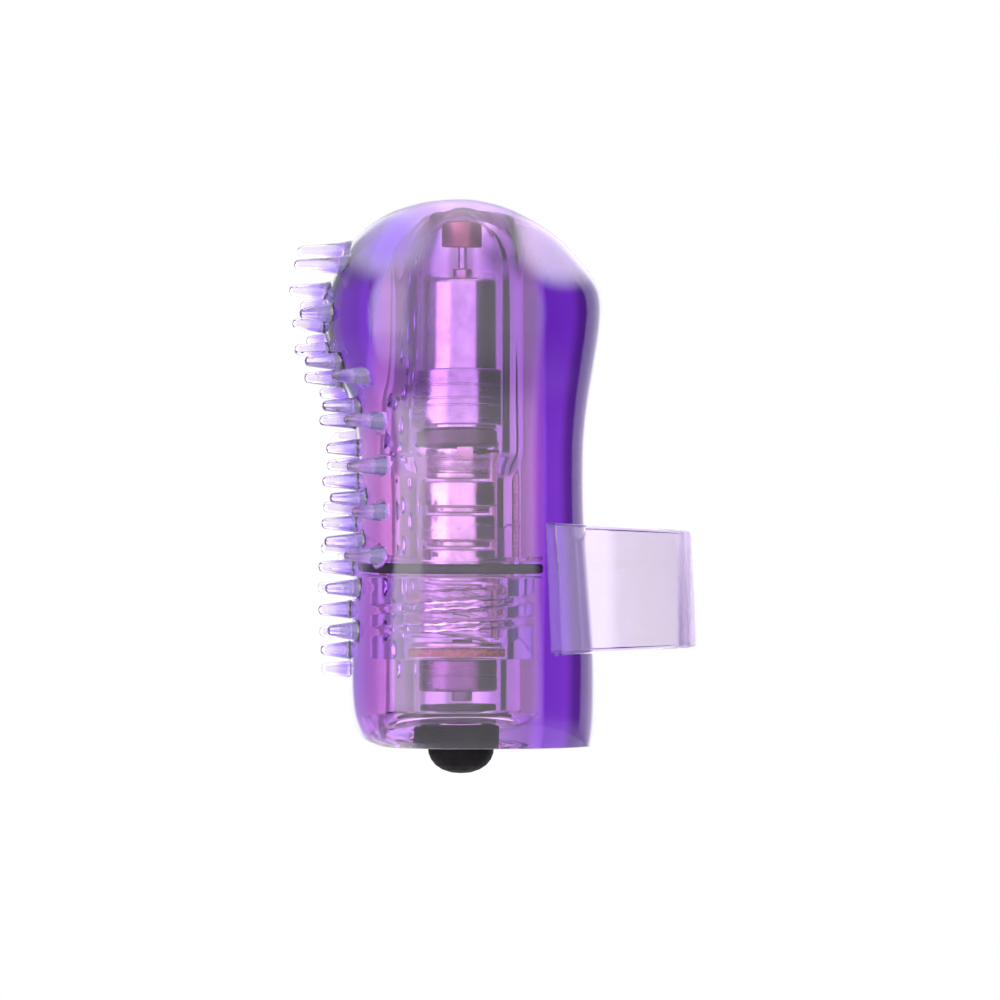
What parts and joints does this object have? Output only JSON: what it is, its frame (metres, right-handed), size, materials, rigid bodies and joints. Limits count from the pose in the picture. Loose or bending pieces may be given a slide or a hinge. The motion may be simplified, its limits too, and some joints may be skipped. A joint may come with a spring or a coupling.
{
  "type": "finger massager",
  "caption": "Finger-worn vibrating massager: clear tinted battery bullet with a base button, in a soft translucent sleeve with conical nubs and a finger loop.",
  "frame": {"origin": "centre of the finger loop, on the mid plane, halfway up the band", "axes": "+Z along the bullet towards the sleeve's domed tip, +X from the bullet to the finger loop (nubs on -X), +Y across the flanks"},
  "size_m": [0.0547, 0.0314, 0.0765],
  "materials": {
    "soft_violet": "glossy translucent soft elastomer",
    "clear_orchid": "glossy transparent tinted plastic",
    "black_rubber": "matt moulded rubber",
    "bright_steel": "bright drawn steel",
    "nickel": "nickel plated",
    "brass": "bare",
    "dark_plastic": "moulded",
    "board": "laminate with a solder-mask face",
    "copper": "enamelled copper",
    "magnet": "sintered ferrite",
    "sintered_weight": "sintered heavy metal",
    "carbon": "pressed carbon",
    "black_wire": "insulated wire"
  },
  "bodies": {
    "sleeve": {"finger_sleeve": "soft_violet"},
    "bullet": {"bullet_housing": "clear_orchid", "contact_strip": "brass", "front_contact": "nickel", "button_cell_1": "bright_steel", "button_cell_2": "bright_steel", "button_cell_3": "bright_steel", "motor_can": "bright_steel", "motor_bush": "brass", "motor_end_bell": "dark_plastic", "motor_magnet_left": "magnet", "motor_magnet_right": "magnet", "brush_left": "carbon", "brush_right": "carbon", "motor_terminal_positive": "brass", "motor_terminal_negative": "brass", "negative_lead": "black_wire", "motor_collar": "bright_steel"},
    "rotor": {"motor_shaft": "bright_steel", "armature_core": "nickel", "winding_upper": "copper", "winding_lower": "copper", "commutator": "copper", "eccentric_weight": "sintered_weight"},
    "seal": {"o_ring": "black_rubber"},
    "cap": {"end_cap": "clear_orchid", "circuit_board": "board", "driver_chip": "dark_plastic", "contact_ring": "brass", "battery_spring": "nickel", "switch_body": "nickel"},
    "button": {"push_button": "black_rubber", "switch_plunger": "dark_plastic"}
  },
  "joints": [
    {"name": "bullet_pullout", "type": "slide", "parent": "sleeve", "child": "bullet", "axis": [0, 0, -1], "range_m": [0, 0.072]},
    {"name": "rotor_spin", "type": "hinge", "parent": "bullet", "child": "rotor", "pos_m": [-0.0233, 0, 0.03], "axis": [0, 0, 1], "continuous": true},
    {"name": "cap_advance", "type": "slide", "parent": "bullet", "child": "seal", "axis": [0, 0, -1], "range_m": [0, 0.0084]},
    {"name": "cap_twist", "type": "hinge", "parent": "seal", "child": "cap", "pos_m": [-0.0233, 0, -0.01], "axis": [0, 0, -1], "range_deg": [0, 1080]},
    {"name": "button_press", "type": "slide", "parent": "cap", "child": "button", "axis": [0, 0, 1], "range_m": [0, 0.0008], "stiffness_N_per_m": 1500, "springref_m": -0.0003}
  ],
  "couplings": [
    {"joint": "cap_advance", "follows": "cap_twist", "m_per_rad": 0.00044563}
  ]
}
